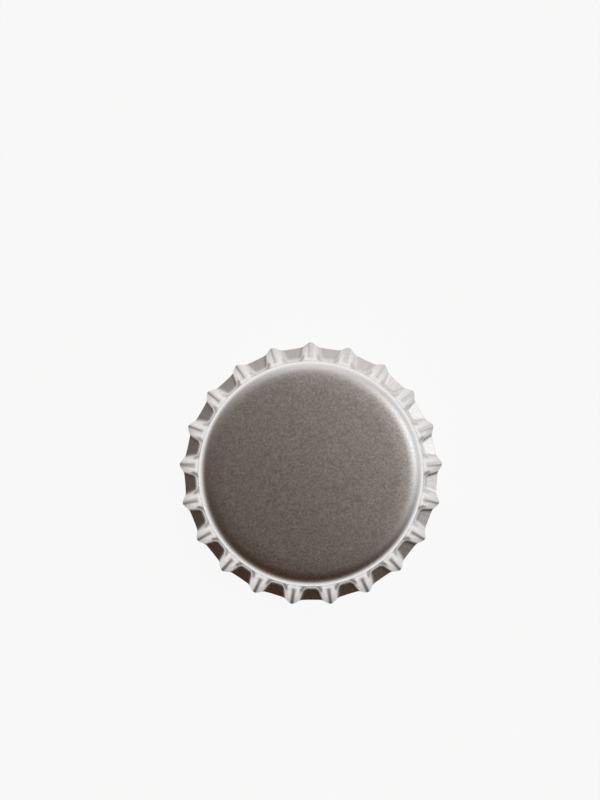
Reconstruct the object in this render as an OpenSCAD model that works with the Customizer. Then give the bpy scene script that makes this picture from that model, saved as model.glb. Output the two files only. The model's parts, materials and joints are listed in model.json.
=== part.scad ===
// Crown cap: a pressed tinplate shell with a fluted skirt, and the moulded liner that seals it.
// Lengths are in millimetres and angles in degrees. The cap stands on its open rim, with +Z through
// the panel. The origin is on its axis, at the level that the rim stands on.

/* [Shell] */
// Outer diameter across the ridge tips
cap_d = 32.1; // [31.6:0.1:33]
// Overall height, from the standing rim to the middle of the panel
cap_h = 6; // [5.8:0.05:7.5]
// Thickness of the tinplate
sheet_t = 0.235; // [0.2:0.005:0.26]
// Inner diameter of the plain neck, which slips over the bottle finish
neck_id = 26.87; // [26.7:0.01:27.1]
// Height of the plain neck between the corner and the flutes
neck_h = 0.2; // [0.1:0.05:0.25]

/* [Panel] */
// Radius of the slight dome of the panel, on its outside
dome_r = 150; // [120:10:400]
// Outside radius of the brow, where the panel starts to fall away
brow_r = 22; // [15:1:40]
// Slope at which the brow passes into the shoulder, from level
brow_turn = 8; // [6:0.5:10]
// Outside radius of the shoulder between the brow and the corner
shoulder_r = 3.9; // [3:0.1:4.5]
// Slope at which the shoulder passes into the corner, from level
shoulder_turn = 17; // [12:1:24]
// Outside radius of the corner between the shoulder and the neck
corner_r = 1.8; // [1.4:0.05:1.9]

/* [Valleys] */
// Outer diameter across the middle of the valleys at the cut edge
valley_d = 30.77; // [30.4:0.01:31.1]
// Outside radius of the bend between the neck wall and the valley flare
valley_bend_r = 1.05; // [0.8:0.05:1.4]
// Slope of the valley where the bend passes into the flare, from level
valley_bend_slope = 25; // [24.5:0.5:30]
// Slope of the valley at the cut edge, from level
valley_slope = 23; // [18:0.5:24]
// Flatness of a valley across its width: 0 is round, 1 is flat, and more is hollow
valley_flatness = 1.5; // [0:0.1:2]

/* [Ridges] */
// Number of ridges around the skirt
ridge_count = 21; // [18:1:24]
// Angle that a ridge leans out from the neck before it bends
ridge_lean = 8; // [6:0.5:12]
// Outside radius of the bend along a ridge
ridge_bend_r = 2; // [1.6:0.1:2.2]
// Slope of a ridge where its bend passes into its flare, from level
ridge_bend_slope = 45; // [43:0.5:47]
// Slope of a ridge at its tip, from level
ridge_slope = 38; // [36:0.5:40]
// Height of a ridge tip above the cut edge of the valleys
tip_lift = 0.42; // [0.3:0.02:0.5]
// Width of a ridge where it leaves the neck
ridge_top_w = 3; // [2.6:0.05:3.2]
// Width of a ridge at the cut edge
ridge_edge_w = 2.5; // [2.4:0.05:2.9]
// What a ridge is wider by halfway down than the mean of those two widths
ridge_swell_w = 0.55; // [0:0.05:0.7]
// Outside radius of the crest where a ridge leaves the neck
crest_top_r = 0.5; // [0.4:0.01:0.6]
// Outside radius of the crest at the cut edge
crest_edge_r = 0.4; // [0.3:0.01:0.5]
// Outside radius of the bend at each foot of a ridge, near the neck
foot_top_r = 0.6; // [0.4:0.02:0.8]
// Outside radius of the bend at each foot of a ridge, at the cut edge
foot_edge_r = 0.7; // [0.5:0.02:0.8]

/* [Liner] */
// Outer diameter of the liner
liner_d = 25.8; // [25:0.1:26]
// Width of the thick sealing ring, at its face
ring_w = 3.2; // [2.7:0.1:3.6]
// Thickness of the sealing ring under the rim of the panel
ring_t = 0.8; // [0.6:0.05:1]
// Thickness of the thin web across the middle
web_t = 0.25; // [0.15:0.05:0.5]
// Distance from the outer edge of the liner to the middle of the outer sealing bead
bead_inset = 0.7; // [0.6:0.05:1]
// Distance between the middles of the two sealing beads
bead_pitch = 1.4; // [1.1:0.05:1.5]
// Radius of the half round section of a bead
bead_r = 0.25; // [0.15:0.05:0.35]
// Radius of the rounded lower edge of the sealing ring
liner_edge_r = 0.2; // [0.05:0.05:0.2]

/* [Hidden] */
steel_color = [0.62, 0.60, 0.58];
liner_color = [0.88, 0.88, 0.85];
// Sides of a full turn, and straight steps along the panel's four arcs and the liner's arcs
turn_fn = 360;
dome_steps = 8;
brow_steps = 6;
shoulder_steps = 5;
corner_steps = 19;
bead_steps = 12;
edge_steps = 6;
// Steps of the skirt's surface: round half a ridge pitch, and down the skirt
half_steps = 7;
rows = 8;
// How strongly the steps crowd towards the crest
crowding = 1.2;
// Share of the room between a ridge's top and its feet that its rounds may take together
rounds_fit = 0.98;
// Small steps that find the skirt's slope: round the cap in degrees, and down it as a share of its length
slope_turn = 0.05;
slope_share = 0.001;
// Height of the skirt's tongue inside the neck wall, and how far the skirt stands proud of that wall
lap_h = 0.12;
lap_proud = 0.003;

neck_r = neck_id / 2 + sheet_t;
dome_c = [0, cap_h - dome_r];
corner_x = neck_r - corner_r;
shoulder_x = corner_x - (shoulder_r - corner_r) * sin(shoulder_turn);
brow_x = shoulder_x - (brow_r - shoulder_r) * sin(brow_turn);
brow_c = [brow_x, dome_c[1] + sqrt(pow(dome_r - brow_r, 2) - pow(brow_x, 2))];
shoulder_c = [shoulder_x, brow_c[1] + (brow_r - shoulder_r) * cos(brow_turn)];
corner_c = [corner_x, shoulder_c[1] + (shoulder_r - corner_r) * cos(shoulder_turn)];
dome_turn = asin(brow_x / (dome_r - brow_r));
skirt_z = corner_c[1] - neck_h;
half_pitch = 180 / ridge_count;
valley_edge = [valley_d / 2, sheet_t * cos(valley_slope)];
ridge_edge = [cap_d / 2, sheet_t * cos(valley_slope) + tip_lift];
valley_line = meridian(valley_edge, 0, valley_bend_r, valley_bend_slope, valley_slope);
ridge_line = meridian(ridge_edge, ridge_lean, ridge_bend_r, ridge_bend_slope, ridge_slope);

// A meridian of the skirt runs from the foot of the neck to the cut edge: a straight stretch at
// an angle of lean from upright, a bend of radius bend_r that turns it to bend_slope from level, and
// a wide flare that ends at slope. The stretch's length and the flare's radius are the two that bring
// it to the edge.
function meridian(edge, lean, bend_r, bend_slope, slope) =
    let(middle = 90 - bend_slope)
    let(end = 90 - slope)
    let(run = edge[0] - neck_r - bend_r * (cos(lean) - cos(middle)))
    let(drop = skirt_z - edge[1] - bend_r * (sin(middle) - sin(lean)))
    let(out = cos(middle) - cos(end))
    let(down = sin(end) - sin(middle))
    let(both = cos(lean) * out - sin(lean) * down)
    let(upper = (drop * out - run * down) / both)
    let(flare_r = (run * cos(lean) - drop * sin(lean)) / both)
    [upper, bend_r, flare_r, lean, middle, end];

// Radius and height of the point at share s of the length of a meridian
function on_meridian(m, s) =
    let(bend_len = m[1] * (m[4] - m[3]) * PI / 180)
    let(flare_len = m[2] * (m[5] - m[4]) * PI / 180)
    let(at = s * (m[0] + bend_len + flare_len))
    let(upper = min(at, m[0]))
    let(bent = m[3] + min(max(at - m[0], 0), bend_len) / m[1] * 180 / PI)
    let(flared = m[4] + max(at - m[0] - bend_len, 0) / m[2] * 180 / PI)
    [
        neck_r + upper * sin(m[3]) + m[1] * (cos(m[3]) - cos(bent)) + m[2] * (cos(m[4]) - cos(flared)),
        skirt_z - upper * cos(m[3]) - m[1] * (sin(bent) - sin(m[3])) - m[2] * (sin(flared) - sin(m[4]))
    ];

// Slope of a ridge's flank, which touches the arcs of the crest and the foot
function flank(h, w, crest_r, foot_r) =
    let(both = crest_r + foot_r)
    asin(both / norm([w, both - h])) - atan2(both - h, w);

// Share of the ridge's height h that is left at the distance x from its crest, where w is half the
// ridge's width: the arc of the crest, the straight flank, the arc of the foot, and then the valley.
// Both arcs shrink together where they wouldn't fit in the height and the width.
function rise(x, h, w, crest_full_r, foot_full_r) =
    let(fit = min(1, rounds_fit * (w * w + h * h) / (2 * h * (crest_full_r + foot_full_r))))
    let(crest_r = crest_full_r * fit)
    let(foot_r = foot_full_r * fit)
    let(a = flank(h, w, crest_r, foot_r))
    let(crest = h - crest_r + sqrt(max(pow(crest_r, 2) - x * x, 0)))
    let(side = h - crest_r * (1 - cos(a)) - (x - crest_r * sin(a)) * tan(a))
    let(foot = foot_r - sqrt(max(pow(foot_r, 2) - pow(w - x, 2), 0)))
    (x < crest_r * sin(a) ? crest : x < w - foot_r * sin(a) ? side : x < w ? foot : 0) / h;

// A size that changes evenly down the skirt, from one value at the neck to another at the cut edge
function down_skirt(top, edge, s) = top * (1 - s) + edge * s;

// Radius and height of the skirt's outside at share s of its length and the angle u from a crest
function section(u, s) =
    let(v = on_meridian(valley_line, s))
    let(c = on_meridian(ridge_line, s))
    let(flat = valley_flatness * s * (2 - s) * (1 / cos(half_pitch - abs(u)) - 1))
    let(valley = [v[0] * (1 + flat), v[1]])
    let(h = max(norm(c - v), 0.001))
    let(w = (down_skirt(ridge_top_w, ridge_edge_w, s) + ridge_swell_w * 4 * s * (1 - s)) / 2)
    let(crest_r = down_skirt(crest_top_r, crest_edge_r, s))
    let(foot_r = down_skirt(foot_top_r, foot_edge_r, s))
    valley + (c - valley) * rise(abs(u) * PI / 180 * (v[0] + c[0]) / 2, h, w, crest_r, foot_r);

// Point of the skirt's outside, and the point below it on the inside, square through the sheet
function outside(turn, u, s) =
    let(p = section(u, s))
    [p[0] * sin(turn + u), p[0] * cos(turn + u), p[1]];
function inside(turn, u, s) =
    let(s0 = min(max(s, slope_share), 1 - slope_share))
    let(along = outside(turn, u, s0 + slope_share) - outside(turn, u, s0 - slope_share))
    let(around = outside(turn, u + slope_turn, s0) - outside(turn, u - slope_turn, s0))
    let(n = cross(around, along))
    outside(turn, u, s) - n * sheet_t / norm(n);

// Angles of the skirt's columns from the crest of their own ridge, closer together near the crest
angles = [for (k = [-half_steps : half_steps - 1]) sign(k) * half_pitch * pow(abs(k) / half_steps, crowding)];
columns = [for (ridge = [0 : ridge_count - 1]) for (u = angles) [ridge * 2 * half_pitch, u]];

// A level ring of points with the radius r
function ring(r, z) = [for (c = columns) [r * sin(c[0] + c[1]), r * cos(c[0] + c[1]), z]];

// Triangles between two rings of n points each, the first of which starts at a and the second at b
function band(n, a, b) = [
    for (k = [0 : n - 1])
        let(next = (k + 1) % n)
        each [[a + k, b + k, b + next], [a + k, b + next, a + next]]
];

// Points of an arc about the centre c, between the angles a and b from upright
function arc(c, r, a, b, steps) = [
    for (k = [0 : steps])
        let(turn = a + (b - a) * k / steps)
        c + r * [sin(turn), cos(turn)]
];

// The list without its last item
function but_last(list) = [for (k = [0 : len(list) - 2]) list[k]];

// The line at the depth d under the outside of the panel: dome, brow, shoulder, corner and neck
function crown_line(d) = concat(
    but_last(arc(dome_c, dome_r - d, 0, dome_turn, dome_steps)),
    but_last(arc(brow_c, brow_r - d, dome_turn, brow_turn, brow_steps)),
    but_last(arc(shoulder_c, shoulder_r - d, brow_turn, shoulder_turn, shoulder_steps)),
    arc(corner_c, corner_r - d, shoulder_turn, 90, corner_steps),
    [[neck_r - d, skirt_z]]
);

// Height of the panel's underside at the radius x, along the chords of its line
function under_panel(x) = lookup(x, crown_line(sheet_t));

// The layer between the depths a and b, from the axis to the foot of the neck
module crown_layer(a, b) {
    outer = crown_line(a);
    inner = crown_line(b);
    polygon(concat(outer, [for (k = [len(inner) - 1 : -1 : 0]) inner[k]]));
}

module skirt() {
    n = len(columns);
    outer_rows = [for (i = [1 : rows]) [for (c = columns) outside(c[0], c[1], i / rows)]];
    inner_rows = [for (i = [rows : -1 : 1]) [for (c = columns) inside(c[0], c[1], i / rows)]];
    rings = concat(
        [ring(neck_r - sheet_t / 4, skirt_z + lap_h)],
        [ring(neck_r + lap_proud, skirt_z)],
        outer_rows,
        inner_rows,
        [ring(neck_r - sheet_t - lap_proud, skirt_z)],
        [ring(neck_r - sheet_t * 3 / 4, skirt_z + lap_h)]
    );
    polyhedron(
        points = [for (r = rings) each r],
        faces = [for (i = [0 : len(rings) - 1]) each band(n, i * n, (i + 1) % len(rings) * n)]
    );
}

module shell() {
    color(steel_color) {
        rotate_extrude($fn = turn_fn)
            crown_layer(0, sheet_t);
        skirt();
    }
}

module liner() {
    liner_r = liner_d / 2;
    ring_r = liner_r - ring_w;
    outer_bead_x = liner_r - bead_inset;
    face_z = under_panel(liner_r - ring_w / 2) - ring_t;
    edge_c = [liner_r - liner_edge_r, face_z + liner_edge_r];
    color(liner_color)
        rotate_extrude($fn = turn_fn) {
            intersection() {
                crown_layer(sheet_t, sheet_t + web_t);
                square([ring_r, cap_h]);
            }
            intersection() {
                polygon(concat(crown_line(sheet_t), [[0, skirt_z]]));
                polygon(concat(
                    [[ring_r - ring_t / 2, cap_h], [ring_r, face_z]],
                    arc([outer_bead_x - bead_pitch, face_z], bead_r, 270, 90, bead_steps),
                    arc([outer_bead_x, face_z], bead_r, 270, 90, bead_steps),
                    arc(edge_c, liner_edge_r, 180, 90, edge_steps),
                    [[liner_r, cap_h]]
                ));
            }
        }
}

shell();
liner();
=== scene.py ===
import json
import math

import bpy
import numpy as np
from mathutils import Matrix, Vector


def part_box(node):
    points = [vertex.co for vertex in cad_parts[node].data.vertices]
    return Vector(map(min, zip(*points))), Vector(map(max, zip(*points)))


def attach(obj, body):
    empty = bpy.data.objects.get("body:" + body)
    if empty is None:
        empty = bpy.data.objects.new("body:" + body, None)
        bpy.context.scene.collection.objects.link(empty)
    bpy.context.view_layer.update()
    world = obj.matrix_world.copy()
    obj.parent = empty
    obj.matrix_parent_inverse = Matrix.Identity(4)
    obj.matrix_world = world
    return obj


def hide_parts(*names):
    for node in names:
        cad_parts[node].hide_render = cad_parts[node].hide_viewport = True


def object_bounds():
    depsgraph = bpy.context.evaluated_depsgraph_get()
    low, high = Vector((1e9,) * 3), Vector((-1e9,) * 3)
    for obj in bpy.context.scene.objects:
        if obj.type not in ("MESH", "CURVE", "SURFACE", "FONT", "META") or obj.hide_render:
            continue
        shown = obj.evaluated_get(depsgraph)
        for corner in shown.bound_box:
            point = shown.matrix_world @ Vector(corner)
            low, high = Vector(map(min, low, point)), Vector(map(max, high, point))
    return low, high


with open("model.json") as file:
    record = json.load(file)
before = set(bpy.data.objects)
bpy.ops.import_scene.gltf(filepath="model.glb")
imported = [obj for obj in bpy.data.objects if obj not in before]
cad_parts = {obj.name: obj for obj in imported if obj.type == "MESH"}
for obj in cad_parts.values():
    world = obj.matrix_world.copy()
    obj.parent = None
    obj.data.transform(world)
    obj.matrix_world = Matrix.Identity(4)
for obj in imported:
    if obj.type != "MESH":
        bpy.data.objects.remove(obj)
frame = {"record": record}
cad_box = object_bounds()
mounts = {mount["name"]: mount for mount in frame["record"]["mounts"]}

# ---------------------------------------------------------------- sizes, in metres
MM = 0.001
TURN = 2 * math.pi

# The box and the mounts give the sizes that the record knows.
CAP_H = cad_box[1].z
TIP_R = cad_box[1].y
NECK_BORE_R = mounts["bottle_neck"]["dims"]["r_mm"] * MM
NECK_H = 0.2 * MM
SEAL_FACE_Z = mounts["seal_face"]["pos_m"][2]
LINER_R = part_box("liner")[1].y

# Pressed shell: sheet, panel, corner and neck.
SHEET = 0.235 * MM
NECK_R = NECK_BORE_R + SHEET
DOME_R = 150 * MM
BROW_R = 22 * MM
BROW_TURN = math.radians(8)
SHOULDER_R = 3.9 * MM
SHOULDER_TURN = math.radians(17)
CORNER_R = 1.8 * MM

# Fluted skirt: plain valleys between ridges, each ridge a crest with two flanks.
RIDGES = 21
VALLEY_R = 15.385 * MM
VALLEY_SLOPE = math.radians(23)
VALLEY_BEND = 1.05 * MM
VALLEY_BEND_SLOPE = math.radians(25)
VALLEY_FLATNESS = 1.5
RIDGE_LEAN = math.radians(8)
RIDGE_SLOPE = math.radians(38)
RIDGE_BEND = 2.0 * MM
RIDGE_BEND_SLOPE = math.radians(45)
TIP_LIFT = 0.42 * MM
RIDGE_TOP_W = 3.0 * MM
RIDGE_EDGE_W = 2.5 * MM
RIDGE_BULGE = 0.55 * MM
CREST_TOP_R = 0.5 * MM
CREST_EDGE_R = 0.4 * MM
FOOT_TOP_R = 0.6 * MM
FOOT_EDGE_R = 0.7 * MM
ROUNDS_FIT = 0.98
EDGE_ROUND = 0.03 * MM

# Moulded liner: a thin web, a sealing ring and two beads on it.
WEB = 0.25 * MM
RING_R = 9.7 * MM
RING_SLANT = 0.4 * MM
RING_FILLET = 0.18 * MM
BEADS_R = (10.8 * MM, 12.2 * MM)
BEAD = 0.25 * MM
BEAD_FILLET = 0.08 * MM
LINER_EDGE = 0.2 * MM

# How finely the surfaces are divided: points along each part of a line, and columns around. The
# columns of half a ridge stand closer towards its crest.
CROWN_STEPS = (12, 9, 22, 4)
UNDER_CROWN_STEPS = (8, 6, 14, 4)
ROOF_STEPS = (8, 8, 12, 2)
SKIRT_STEPS_OUT = 45
SKIRT_STEPS_IN = 40
HALF_RIDGE_STEPS = 15
CREST_CROWDING = 1.25
EDGE_ROUND_DEGREES = (30, 60, 90)
WEB_STEPS = 24
FILLET_STEPS = 7
BEAD_FILLET_STEPS = 5
BEAD_STEPS = 15
LINER_EDGE_STEPS = 8
LINER_COLUMNS = 240

# The steps to each side that give the sheet's directions, and the least height of a ridge, which
# keeps its rise defined at the neck's foot, where crest and valley meet.
FRAME_TURN = math.radians(0.05)
FRAME_SHARE = 0.001
LEAST_RIDGE = 0.001 * MM


# ---------------------------------------------------------------- surfaces
def surface(name, rings, finish_of_band, finishes, poles):
    """A closed mesh through level rings of points: quads join each ring to the next one, a fan
    joins the first ring to the first pole and the last ring to the last pole. Going round is
    clockwise from above, so the side to the left of the way down the rings is the outside."""
    count, columns = rings.shape[:2]
    points = np.vstack([rings.reshape(-1, 3), poles])
    here = np.arange(columns)
    beyond = (here + 1) % columns
    upper = (np.arange(count - 1) * columns)[:, None]
    lower = upper + columns
    quads = np.stack([upper + here, upper + beyond, lower + beyond, lower + here], axis=-1)
    first, last = len(points) - 2, len(points) - 1
    low = (count - 1) * columns
    fan_in = np.stack([np.full(columns, first), beyond, here], axis=-1)
    fan_out = np.stack([np.full(columns, last), low + here, low + beyond], axis=-1)
    mesh = bpy.data.meshes.new(name)
    mesh.from_pydata(points, [], quads.reshape(-1, 4).tolist() + fan_in.tolist() + fan_out.tolist())
    bands = np.concatenate([np.repeat(finish_of_band, columns), np.full(columns, finish_of_band[0]),
                            np.full(columns, finish_of_band[-1])])
    mesh.polygons.foreach_set("material_index", bands.astype(np.int32))
    mesh.polygons.foreach_set("use_smooth", np.ones(len(bands), bool))
    for finish in finishes:
        mesh.materials.append(finish)
    mesh.validate()
    piece = bpy.data.objects.new(name, mesh)
    bpy.context.scene.collection.objects.link(piece)
    return piece


def ring_points(radius, turn, height):
    """Points at an angle clockwise from +Y: x is radius times sine, y is radius times cosine."""
    x, y = radius * np.sin(turn), radius * np.cos(turn)
    return np.stack(np.broadcast_arrays(x, y, height), axis=-1)


def unit(vectors):
    """Each vector divided by its own length."""
    return vectors / np.linalg.norm(vectors, axis=-1, keepdims=True)


def arc(centre, radius, start, end, steps):
    """Radius and height of points on an arc: the centre, plus the arc's radius times the sine and
    cosine of an angle that runs from start to end, measured from upright."""
    angle = np.linspace(start, end, steps)
    across, up = centre[0] + radius * np.sin(angle), centre[1] + radius * np.cos(angle)
    return np.stack([across, up], axis=-1)


# ---------------------------------------------------------------- shell
def crown_centres():
    """Centres of the dome, the brow, the shoulder and the corner. Each smaller arc touches the one
    before it from inside, so its centre lies on the line from that arc's centre through the point
    of touch."""
    corner_x = NECK_R - CORNER_R
    shoulder_x = corner_x - (SHOULDER_R - CORNER_R) * math.sin(SHOULDER_TURN)
    brow_x = shoulder_x - (BROW_R - SHOULDER_R) * math.sin(BROW_TURN)
    dome = np.array([0.0, CAP_H - DOME_R])
    brow = np.array([brow_x, dome[1] + math.sqrt((DOME_R - BROW_R) ** 2 - brow_x ** 2)])
    shoulder = np.array([shoulder_x, brow[1] + (BROW_R - SHOULDER_R) * math.cos(BROW_TURN)])
    corner = np.array([corner_x, shoulder[1] + (SHOULDER_R - CORNER_R) * math.cos(SHOULDER_TURN)])
    return dome, brow, shoulder, corner


DOME_C, BROW_C, SHOULDER_C, CORNER_C = crown_centres()
DOME_TURN = math.asin(BROW_C[0] / (DOME_R - BROW_R))
NECK_FOOT_Z = CORNER_C[1] - NECK_H


def crown_line(depth, steps):
    """The line at a depth under the panel's outside, from beside the axis to the neck's foot: the
    dome's, the brow's, the shoulder's and the corner's arcs with the depth taken off their radii,
    then the upright neck."""
    dome_steps, arc_steps, corner_steps, neck_steps = steps
    dome = arc(DOME_C, DOME_R - depth, 0, DOME_TURN, dome_steps)[1:]
    brow = arc(BROW_C, BROW_R - depth, DOME_TURN, BROW_TURN, arc_steps)[1:]
    shoulder = arc(SHOULDER_C, SHOULDER_R - depth, BROW_TURN, SHOULDER_TURN, arc_steps)[1:]
    corner = arc(CORNER_C, CORNER_R - depth, SHOULDER_TURN, math.pi / 2, corner_steps)[1:]
    neck_z = np.linspace(CORNER_C[1], NECK_FOOT_Z, neck_steps)[1:]
    neck = np.stack([np.full(len(neck_z), NECK_R - depth), neck_z], axis=-1)
    return np.vstack([dome, brow, shoulder, corner, neck])


def meridian(edge, lean, bend, bend_slope, slope):
    """A line of the skirt from the neck's foot exactly to the cut edge: a straight stretch that
    leans out from upright, a bend that turns it to one slope, and a wide flare that ends at
    another. The stretch's length and the flare's radius are the two that bring the line to the
    edge."""
    middle, end = math.pi / 2 - bend_slope, math.pi / 2 - slope
    run = edge[0] - NECK_R - bend * (math.cos(lean) - math.cos(middle))
    drop = NECK_FOOT_Z - edge[1] - bend * (math.sin(middle) - math.sin(lean))
    out, down = math.cos(middle) - math.cos(end), math.sin(end) - math.sin(middle)
    both = math.cos(lean) * out - math.sin(lean) * down
    upper = (drop * out - run * down) / both
    flare = (run * math.cos(lean) - drop * math.sin(lean)) / both
    return upper, bend, flare, lean, middle, end


VALLEY_EDGE = (VALLEY_R, SHEET * math.cos(VALLEY_SLOPE))
RIDGE_EDGE = (TIP_R, SHEET * math.cos(VALLEY_SLOPE) + TIP_LIFT)
VALLEY_LINE = meridian(VALLEY_EDGE, 0.0, VALLEY_BEND, VALLEY_BEND_SLOPE, VALLEY_SLOPE)
RIDGE_LINE = meridian(RIDGE_EDGE, RIDGE_LEAN, RIDGE_BEND, RIDGE_BEND_SLOPE, RIDGE_SLOPE)


def meridian_length(line):
    """The stretch and both arcs."""
    upper, bend, flare, lean, middle, end = line
    return upper + bend * (middle - lean) + flare * (end - middle)


def on_meridian(line, share):
    """Radius and height at a share of a meridian's length: along the stretch, then turning round
    the bend, then round the flare."""
    upper, bend, flare, lean, middle, end = line
    at = share * meridian_length(line)
    above = np.minimum(at, upper)
    bent = np.clip(lean + (at - upper) / bend, lean, middle)
    flared = np.clip(middle + (at - upper - bend * (middle - lean)) / flare, middle, end)
    radius = (NECK_R + above * math.sin(lean) + bend * (math.cos(lean) - np.cos(bent))
              + flare * (math.cos(middle) - np.cos(flared)))
    height = (NECK_FOOT_Z - above * math.cos(lean) - bend * (np.sin(bent) - math.sin(lean))
              - flare * (np.sin(flared) - math.sin(middle)))
    return radius, height


def ridge_rise(x, height, half_width, crest_r, foot_r):
    """Share of a ridge's height that is left at a distance from its crest line: the round of the
    crest, the straight flank that touches both rounds, the hollow round of the foot, then none.
    Both rounds shrink together where they wouldn't fit in the height and the width."""
    room = (half_width ** 2 + height ** 2) / (2 * height * (crest_r + foot_r))
    fit = np.minimum(1, ROUNDS_FIT * room)
    crest_r, foot_r = crest_r * fit, foot_r * fit
    both = crest_r + foot_r
    above = both - height
    flank = np.arcsin(both / np.hypot(half_width, above)) - np.arctan2(above, half_width)
    crest = height - crest_r + np.sqrt(np.maximum(crest_r ** 2 - x ** 2, 0))
    side = height - crest_r * (1 - np.cos(flank)) - (x - crest_r * np.sin(flank)) * np.tan(flank)
    foot = foot_r - np.sqrt(np.maximum(foot_r ** 2 - (half_width - x) ** 2, 0))
    past_flank = np.where(x < half_width, foot, 0)
    past_crest = np.where(x < half_width - foot_r * np.sin(flank), side, past_flank)
    return np.where(x < crest_r * np.sin(flank), crest, past_crest) / height


def down_the_skirt(share, top, edge):
    """A size that changes evenly from the neck's foot to the cut edge."""
    return top * (1 - share) + edge * share


def skirt_outside(turn, u, share):
    """A point of the skirt's outside at the angle turn of a ridge, the angle u from its crest line
    and a share of the way down: the valley's point, moved towards the crest line's point by the
    ridge's rise at that distance. The valley is drawn out between two ridges, which flattens it."""
    valley_r, valley_z = on_meridian(VALLEY_LINE, share)
    crest_r, crest_z = on_meridian(RIDGE_LINE, share)
    to_middle = math.pi / RIDGES - np.abs(u)
    valley_r = valley_r * (1 + VALLEY_FLATNESS * share * (2 - share) * (1 / np.cos(to_middle) - 1))
    height = np.maximum(np.hypot(crest_r - valley_r, crest_z - valley_z), LEAST_RIDGE)
    width = down_the_skirt(share, RIDGE_TOP_W, RIDGE_EDGE_W) + RIDGE_BULGE * 4 * share * (1 - share)
    rise = ridge_rise(np.abs(u) * (valley_r + crest_r) / 2, height, width / 2,
                      down_the_skirt(share, CREST_TOP_R, CREST_EDGE_R),
                      down_the_skirt(share, FOOT_TOP_R, FOOT_EDGE_R))
    radius = valley_r + (crest_r - valley_r) * rise
    return ring_points(radius, turn + u, valley_z + (crest_z - valley_z) * rise)


def skirt_frame(turn, u, share):
    """Unit vectors out of the sheet and down along it, from the differences between points a
    little to each side and a little above and below."""
    inner = np.clip(share, FRAME_SHARE, 1 - FRAME_SHARE)
    above, below = (skirt_outside(turn, u, inner + step) for step in (-FRAME_SHARE, FRAME_SHARE))
    before, after = (skirt_outside(turn, u + step, inner) for step in (-FRAME_TURN, FRAME_TURN))
    along = below - above
    return unit(np.cross(after - before, along)), unit(along)


def build_shell(finishes):
    """The pressed shell as one closed sheet. Its rings run from the panel's centre out over the
    dome, the brow, the shoulder and the corner, down the neck and the fluted skirt, round the cut
    edge, and back up the inside, one sheet thickness below, to the centre. Around, the columns
    stand closer at the crest of each ridge: their angles go as a power of their number."""
    steps = np.arange(-HALF_RIDGE_STEPS, HALF_RIDGE_STEPS)
    u = np.sign(steps) * math.pi / RIDGES * (np.abs(steps) / HALF_RIDGE_STEPS) ** CREST_CROWDING
    turn = np.repeat(np.arange(RIDGES) * TURN / RIDGES, len(steps))[None, :]
    u = np.tile(u, RIDGES)[None, :]
    azimuth = turn + u

    crown = crown_line(0, CROWN_STEPS)
    under = crown_line(SHEET, UNDER_CROWN_STEPS)[::-1]
    outer_crown = ring_points(crown[:, :1], azimuth, crown[:, 1:])
    inner_crown = ring_points(under[:, :1], azimuth, under[:, 1:])

    shortly = EDGE_ROUND / meridian_length(VALLEY_LINE)
    down = np.linspace(0, 1 - shortly, SKIRT_STEPS_OUT)[1:, None]
    outer_skirt = skirt_outside(turn, u, down)
    up = np.linspace(1 - shortly, 0, SKIRT_STEPS_IN)[:, None]
    out, along = skirt_frame(turn, u, up)
    inner_skirt = skirt_outside(turn, u, up) - SHEET * out

    # The cut edge: a small round from the outside, a flat, and a small round to the inside.
    edge = skirt_outside(turn, u, np.array([[1.0]]))
    out, along = skirt_frame(turn, u, np.array([[1.0]]))
    angle = np.radians(EDGE_ROUND_DEGREES)[:, None, None]
    outer_centre = edge - EDGE_ROUND * (out + along)
    outer_round = outer_centre + EDGE_ROUND * (out * np.cos(angle) + along * np.sin(angle))
    inner_centre = edge - SHEET * out + EDGE_ROUND * (out - along)
    inner_round = inner_centre + EDGE_ROUND * (along * np.sin(angle) - out * np.cos(angle))[::-1]

    rings = np.concatenate([outer_crown, outer_skirt, outer_round,
                            inner_round, inner_skirt, inner_crown])
    outside = len(outer_crown) + len(outer_skirt)
    cut = len(outer_round) + len(inner_round)
    band = np.repeat([0, 1, 2], [outside - 1, cut + 1, len(inner_skirt) + len(inner_crown) - 1])
    poles = np.array([[0, 0, CAP_H], [0, 0, CAP_H - SHEET]])
    return surface("pressed_shell", rings, band, finishes, poles)


# ---------------------------------------------------------------- liner
def fillet(corner, before, after, radius):
    """Points of a round that touches the two straight sides of a corner: the arc about a centre on
    the corner's bisector, from the foot of its perpendicular on one side to that on the other."""
    a, b = unit(np.array(before) - corner), unit(np.array(after) - corner)
    half = math.acos(float(np.clip(a @ b, -1, 1))) / 2
    centre = corner + unit(a + b) * radius / math.sin(half)
    start = corner + a * radius / math.tan(half) - centre
    end = corner + b * radius / math.tan(half) - centre
    sweep = np.arctan2(start[0] * end[1] - start[1] * end[0], start @ end)
    angle = np.linspace(0, sweep, FILLET_STEPS)[:, None]
    side = np.array([-start[1], start[0]])
    return centre + start * np.cos(angle) + side * np.sin(angle)


def bead_line(middle):
    """Across a bead on the sealing face: a hollow round up to its foot, the half round of the bead,
    and a hollow round away. The hollow rounds touch the face and the bead."""
    reach = math.sqrt((BEAD + BEAD_FILLET) ** 2 - BEAD_FILLET ** 2)
    lean = math.asin(BEAD_FILLET / (BEAD + BEAD_FILLET))
    face = SEAL_FACE_Z
    side = math.pi / 2 - lean
    rise_in = arc((middle - reach, face - BEAD_FILLET), BEAD_FILLET, 0, side, BEAD_FILLET_STEPS)
    half_round = arc((middle, face), BEAD, math.pi + side, math.pi - side, BEAD_STEPS)[1:-1]
    rise_out = arc((middle + reach, face - BEAD_FILLET), BEAD_FILLET, -side, 0, BEAD_FILLET_STEPS)
    return np.vstack([rise_in, half_round, rise_out])


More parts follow.
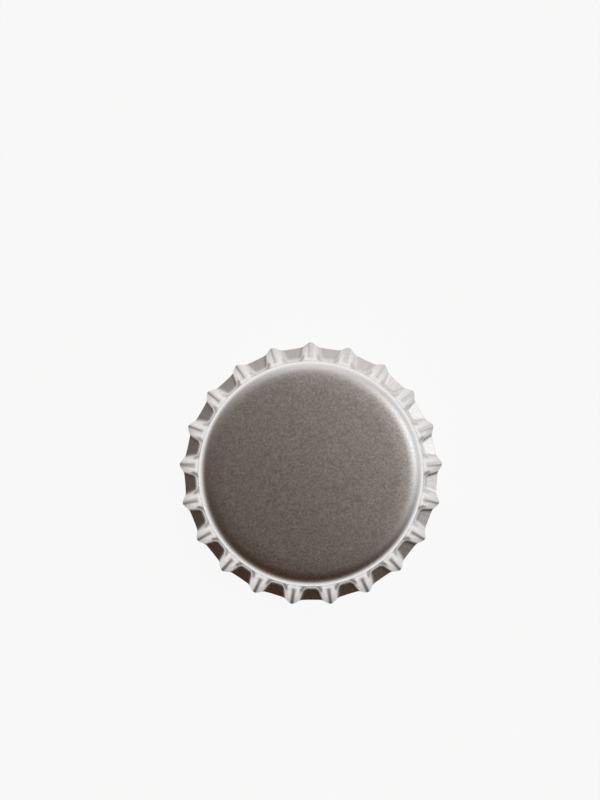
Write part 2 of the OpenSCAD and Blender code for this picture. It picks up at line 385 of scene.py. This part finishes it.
def build_liner(finishes):
    """The moulded liner, turned about the axis: under the web from the centre, down the slanted
    side of the sealing ring, over its face and the two beads, round its outer edge, up to the
    panel's corner and back to the centre under the panel."""
    web_line = arc(DOME_C, DOME_R - SHEET - WEB, 0, DOME_TURN, WEB_STEPS)[1:]
    web_line = web_line[web_line[:, 0] < RING_R - RING_SLANT - 2 * RING_FILLET]
    web_z = DOME_C[1] + math.sqrt((DOME_R - SHEET - WEB) ** 2 - RING_R ** 2)
    slant = RING_SLANT * (web_z - SEAL_FACE_Z) / (CAP_H - SEAL_FACE_Z)
    top_corner, face_corner = np.array([RING_R - slant, web_z]), np.array([RING_R, SEAL_FACE_Z])
    into_ring = fillet(top_corner, (RING_R - MM, web_z), face_corner, RING_FILLET)
    onto_face = fillet(face_corner, top_corner, (RING_R + MM, SEAL_FACE_Z), RING_FILLET)
    edge_centre = (LINER_R - LINER_EDGE, SEAL_FACE_Z + LINER_EDGE)
    edge_round = arc(edge_centre, LINER_EDGE, math.pi, math.pi / 2, LINER_EDGE_STEPS)
    roof = crown_line(SHEET, ROOF_STEPS)
    roof = roof[roof[:, 0] < LINER_R][::-1]
    corner_z = CORNER_C[1] + math.sqrt((CORNER_R - SHEET) ** 2 - (LINER_R - CORNER_C[0]) ** 2)
    line = np.vstack([web_line, into_ring, onto_face, bead_line(BEADS_R[0]), bead_line(BEADS_R[1]),
                      edge_round, [[LINER_R, corner_z]], roof])[::-1]
    around = np.arange(LINER_COLUMNS)[None, :] * TURN / LINER_COLUMNS
    rings = ring_points(line[:, :1], around, line[:, 1:])
    top, bottom = CAP_H - SHEET, CAP_H - SHEET - WEB
    poles = np.array([[0, 0, top], [0, 0, bottom]])
    return surface("moulded_liner", rings, np.zeros(len(rings) - 1, int), finishes, poles)


# ---------------------------------------------------------------- finishes
# How far from the axis the panel's grain fades out and the skirt's draw lines come in, the circle
# and the pitch that the lines' noise is read on, how much mottle goes on the grain, and how deep
# the lines and the grain are.
GRAIN_FADES = (11.7 * MM, 12.8 * MM)
DRAW_LINES_START = (13.7 * MM, 14.5 * MM)
DRAW_LINES_RING = 14.5 * MM
DRAW_LINES_PITCH = 0.25
MOTTLE_SHARE = 0.4
DRAW_LINES_DEPTH = 0.018 * MM
GRAIN_DEPTH = 0.0004 * MM


class Nodes:
    """A node tree, with short ways to add nodes and join them."""

    def __init__(self, tree):
        self.tree = tree

    def feed(self, socket, value):
        """Join an output to a socket, or set the socket to a plain value."""
        if isinstance(value, bpy.types.NodeSocket):
            self.tree.links.new(value, socket)
        else:
            socket.default_value = value

    def node(self, kind, inputs=(), **settings):
        """A new node with its settings made and its inputs fed."""
        made = self.tree.nodes.new(kind)
        for key, value in settings.items():
            setattr(made, key, value)
        for key, value in dict(inputs).items():
            self.feed(made.inputs[key], value)
        return made

    def math(self, operation, *values):
        """One sum on plain values."""
        made = self.node("ShaderNodeMath", dict(enumerate(values)), operation=operation)
        return made.outputs["Value"]

    def vector(self, operation, *values):
        """One sum on vectors, which gives a plain value for a length or a dot product."""
        made = self.node("ShaderNodeVectorMath", dict(enumerate(values)), operation=operation)
        return made.outputs["Value" if operation in ("LENGTH", "DOT_PRODUCT") else "Vector"]

    def mix(self, share, first, second):
        """One shader over another."""
        made = self.node("ShaderNodeMixShader", {"Fac": share, 1: first, 2: second})
        return made.outputs["Shader"]


class Finish(Nodes):
    """A material and its node tree. Patterns are placed in the piece's own coordinates."""

    def __init__(self, name):
        self.material = bpy.data.materials.new(name)
        self.material.use_nodes = True
        super().__init__(self.material.node_tree)
        self.shader = self.tree.nodes["Principled BSDF"]
        self.place = self.node("ShaderNodeTexCoord").outputs["Object"]

    def noise(self, scale, detail=2.0, roughness=0.5, place=None):
        """A cloudy value at the piece's own place, or at another one."""
        made = self.node("ShaderNodeTexNoise", {"Vector": place or self.place, "Scale": scale,
                                                "Detail": detail, "Roughness": roughness})
        return made.outputs["Fac"]

    def from_axis(self):
        """The place with its height taken off, and its distance from the axis."""
        flat = self.vector("MULTIPLY", self.place, (1, 1, 0))
        return flat, self.vector("LENGTH", flat)

    def along_draw(self, flat, radius, ring_r, pitch):
        """A place that goes round a circle with the heading from the axis, and slowly up with the
        distance, so that a noise there is drawn out into lines away from the axis."""
        on_ring = self.vector("MULTIPLY", self.vector("NORMALIZE", flat), (ring_r, ring_r, 0))
        rise = self.node("ShaderNodeCombineXYZ", {"Z": self.math("MULTIPLY", radius, pitch)})
        return self.vector("ADD", on_ring, rise.outputs["Vector"])

    def spread(self, value, low, high, start=0.3, end=0.7):
        """A value that runs from low to high while another one runs from start to end."""
        made = self.node("ShaderNodeMapRange", {"Value": value, "From Min": start, "From Max": end,
                                                "To Min": low, "To Max": high})
        return made.outputs["Result"]

    def blend(self, share, first, second):
        """A share of the second colour over the first one. The three sockets are picked by number
        because the node has one set of them for each kind of value."""
        made = self.node("ShaderNodeMix", {0: share, 6: first, 7: second}, data_type="RGBA")
        return made.outputs[2]

    def bump(self, height, depth, under=None):
        """The surface's direction over a height that goes as deep as depth, on top of another
        bump where there is one."""
        inputs = {"Height": height, "Strength": 1.0, "Distance": depth}
        if under is not None:
            inputs["Normal"] = under
        return self.node("ShaderNodeBump", inputs).outputs["Normal"]

    def set(self, **sockets):
        """Feed the main shader's sockets, and give the material."""
        names = {"color": "Base Color", "rough": "Roughness", "normal": "Normal",
                 "metal": "Metallic", "ior": "IOR", "scatter": "Subsurface Weight",
                 "scatter_scale": "Subsurface Scale"}
        for key, value in sockets.items():
            self.feed(self.shader.inputs[names[key]], value)
        return self.material


def satin_lacquer():
    """Clear satin lacquer on bright tinplate: a metal with a fine mottled grain that is strong on
    the panel and faint on the drawn skirt, with fine specks of duller gloss, and with shallow lines
    along the draw on the skirt."""
    finish = Finish("satin_lacquered_tinplate")
    mottle = finish.noise(1500, 2.0)
    grain = finish.noise(3800, 1.0)
    speck = finish.noise(4300, 1.0)
    fleck = finish.math("MULTIPLY_ADD", mottle, MOTTLE_SHARE, grain)
    flat, radius = finish.from_axis()
    drawn = finish.spread(radius, 0.0, 1.0, *GRAIN_FADES)
    dull = finish.blend(drawn, (0.68, 0.66, 0.63, 1), (0.865, 0.86, 0.85, 1))
    bright = finish.blend(drawn, (1.0, 0.98, 0.955, 1), (0.925, 0.92, 0.91, 1))
    tone = finish.blend(finish.spread(fleck, 0.0, 1.0, 0.48, 0.92), dull, bright)
    gloss = finish.spread(speck, 0.25, 0.36)
    place = finish.along_draw(flat, radius, DRAW_LINES_RING, DRAW_LINES_PITCH)
    skirt = finish.spread(radius, 0.0, 1.0, *DRAW_LINES_START)
    draw_lines = finish.math("MULTIPLY", finish.noise(1500, 2.0, place=place), skirt)
    drawn_sheet = finish.bump(draw_lines, DRAW_LINES_DEPTH)
    return finish.set(color=tone, rough=gloss, metal=1.0,
                      normal=finish.bump(grain, GRAIN_DEPTH, drawn_sheet))


def sheared_steel():
    """The cut edge of the sheet: bare grey steel with fine lines across the thickness, left by the
    punch."""
    finish = Finish("sheared_steel_edge")
    stretched = finish.node("ShaderNodeMapping", {"Vector": finish.place, "Scale": (1, 1, 0.12)})
    lines = finish.noise(14000, 2.0, place=stretched.outputs["Vector"])
    tone = finish.blend(finish.spread(lines, 0, 1), (0.44, 0.43, 0.42, 1), (0.66, 0.65, 0.63, 1))
    return finish.set(color=tone, rough=finish.spread(lines, 0.28, 0.42), metal=1.0,
                      normal=finish.bump(lines, 0.002 * MM))


def inner_lacquer():
    """Clear lacquer on the inside, slightly warmer and glossier than the outside, with a fine
    grain of the tinplate under it."""
    finish = Finish("clear_lacquered_inside")
    grain = finish.noise(5200, 2.0, 0.6)
    cloud = finish.noise(320, 2.0)
    tone = finish.blend(finish.spread(grain, 0, 1), (0.74, 0.71, 0.66, 1), (0.84, 0.81, 0.76, 1))
    tone = finish.blend(finish.spread(cloud, 0.0, 0.3), tone, (0.78, 0.74, 0.67, 1))
    return finish.set(color=tone, rough=finish.spread(grain, 0.20, 0.27), metal=1.0,
                      normal=finish.bump(grain, 0.0006 * MM))


def moulded_compound():
    """Soft sealing compound, off-white and semi-matt, with a faint mottle, a fine skin and the very
    shallow rings that the mould's tool leaves."""
    finish = Finish("moulded_sealing_compound")
    mottle = finish.noise(700, 3.0)
    skin = finish.noise(9000, 2.0)
    rings = finish.node("ShaderNodeTexWave", {"Vector": finish.place, "Scale": 900.0,
                                              "Distortion": 0.4, "Detail": 1.0},
                        wave_type="RINGS", rings_direction="Z")
    tone = finish.blend(finish.spread(mottle, 0, 1), (0.80, 0.80, 0.76, 1), (0.88, 0.88, 0.845, 1))
    lows = finish.bump(rings.outputs["Fac"], 0.0008 * MM)
    return finish.set(color=tone, rough=finish.spread(skin, 0.38, 0.50), ior=1.5, scatter=0.15,
                      scatter_scale=0.4 * MM, normal=finish.bump(skin, 0.0015 * MM, lows))


# ---------------------------------------------------------------- pieces
shell = build_shell([satin_lacquer(), sheared_steel(), inner_lacquer()])
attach(shell, "root")
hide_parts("shell")

liner = build_liner([moulded_compound()])
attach(liner, "root")
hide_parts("liner")


# ---------------------------------------------------------------- studio
BACKDROP = 0.94
FLOOR_REACH = 1.5
FLOOR_TONES = (0.80, 0.84)
FLOOR_GLOW = 1.018
FLOOR_GLOW_SHARE = 0.9

# The light's colours, and how far below level the table gives way to the room, and how softly.
TABLE = (1.022, 1.007, 1.006)
ROOM = (0.033, 0.0118, 0.0)
KEY = (1.07, 1.045, 1.045)
FILL = (0.729, 0.713, 0.709)
RIM = (0.396, 0.438, 0.456)
GLIMMER = (0.506, 0.475, 0.476)
HORIZON = 0.208
HORIZON_SOFT = 0.131

CAMERA_HEIGHT = 0.600
CAMERA_TURN = math.radians(-0.17)
CAMERA_SHIFT = (-0.0136, 0.0922)
LENS = 221.3
SENSOR = 36.0
CLIP = (0.01, 10.0)


def build_floor():
    """A wide plain pale floor that glows like a light table, with a small share of plain cloth
    that takes the cap's shade."""
    finish = Finish("pale_floor")
    cloth = finish.spread(finish.noise(3, 1.0), *FLOOR_TONES)
    shade = finish.node("ShaderNodeBsdfDiffuse", {"Color": cloth})
    glow = finish.node("ShaderNodeEmission", {"Color": (1, 1, 1, 1), "Strength": FLOOR_GLOW})
    both = finish.mix(FLOOR_GLOW_SHARE, shade.outputs["BSDF"], glow.outputs["Emission"])
    finish.feed(finish.tree.nodes["Material Output"].inputs["Surface"], both)
    signs = ((-1, -1), (1, -1), (1, 1), (-1, 1))
    corners = [(x * FLOOR_REACH, y * FLOOR_REACH, 0) for x, y in signs]
    mesh = bpy.data.meshes.new("floor")
    mesh.from_pydata(corners, [], [(0, 1, 2, 3)])
    mesh.materials.append(finish.material)
    floor = bpy.data.objects.new("floor", mesh)
    floor.visible_glossy = False
    bpy.context.scene.collection.objects.link(floor)


def build_light():
    """The studio's light as a world of soft lobes. A lobe's light is its colour times e to the
    power of its tightness times the cosine from its middle less one. Under the horizon the room
    and the lobes give way to the pale table, whose share is one over one plus e to the power of
    the height above the horizon over its softness. The camera itself sees a plain pale backdrop."""
    world = bpy.data.worlds.new("studio")
    bpy.context.scene.world = world
    world.use_nodes = True
    world.node_tree.nodes.clear()
    sky = Nodes(world.node_tree)
    toward = sky.node("ShaderNodeTexCoord").outputs["Generated"]

    def light(colour, strength=1.0):
        """Light of one colour, whose strength may change with the direction."""
        made = sky.node("ShaderNodeBackground", {"Color": (*colour, 1), "Strength": strength})
        return made.outputs["Background"]

    def lobe(azimuth, elevation, tightness, colour):
        """Light round a middle that is given in degrees clockwise from +Y and above level."""
        a, e = math.radians(azimuth), math.radians(elevation)
        middle = (math.sin(a) * math.cos(e), math.cos(a) * math.cos(e), math.sin(e))
        closeness = sky.math("SUBTRACT", sky.vector("DOT_PRODUCT", toward, middle), 1.0)
        return light(colour, sky.math("EXPONENT", sky.math("MULTIPLY", closeness, tightness)))

    above = light(ROOM)
    for glow in (
        lobe(72.0, 42.4, 10.7, KEY),
        lobe(5.6, 9.6, 2.63, FILL),
        lobe(81.5, 1.1, 7.7, RIM),
        lobe(265.4, -10.4, 17.0, GLIMMER),
    ):
        above = sky.node("ShaderNodeAddShader", {0: above, 1: glow}).outputs["Shader"]

    height = sky.node("ShaderNodeSeparateXYZ", {0: toward}).outputs["Z"]
    rise = sky.math("EXPONENT", sky.math("DIVIDE", sky.math("ADD", height, HORIZON), HORIZON_SOFT))
    table_share = sky.math("DIVIDE", 1.0, sky.math("ADD", rise, 1.0))
    around = sky.mix(table_share, above, light(TABLE))
    to_camera = sky.node("ShaderNodeLightPath").outputs["Is Camera Ray"]
    seen = sky.mix(to_camera, around, light((BACKDROP, BACKDROP, BACKDROP)))
    sky.node("ShaderNodeOutputWorld", {"Surface": seen})


def build_camera():
    """A long lens straight above the cap, shifted so that the cap stands a little right of the
    middle and below it, with a ridge tip at the top."""
    data = bpy.data.cameras.new("camera")
    data.lens = LENS
    data.sensor_width = SENSOR
    data.shift_x, data.shift_y = CAMERA_SHIFT
    data.clip_start, data.clip_end = CLIP
    camera = bpy.data.objects.new("camera", data)
    camera.location = (0, 0, CAMERA_HEIGHT)
    camera.rotation_euler = (0, 0, CAMERA_TURN)
    bpy.context.scene.collection.objects.link(camera)
    bpy.context.scene.camera = camera


build_floor()
build_light()
build_camera()
bpy.context.scene.view_settings.view_transform = "Standard"
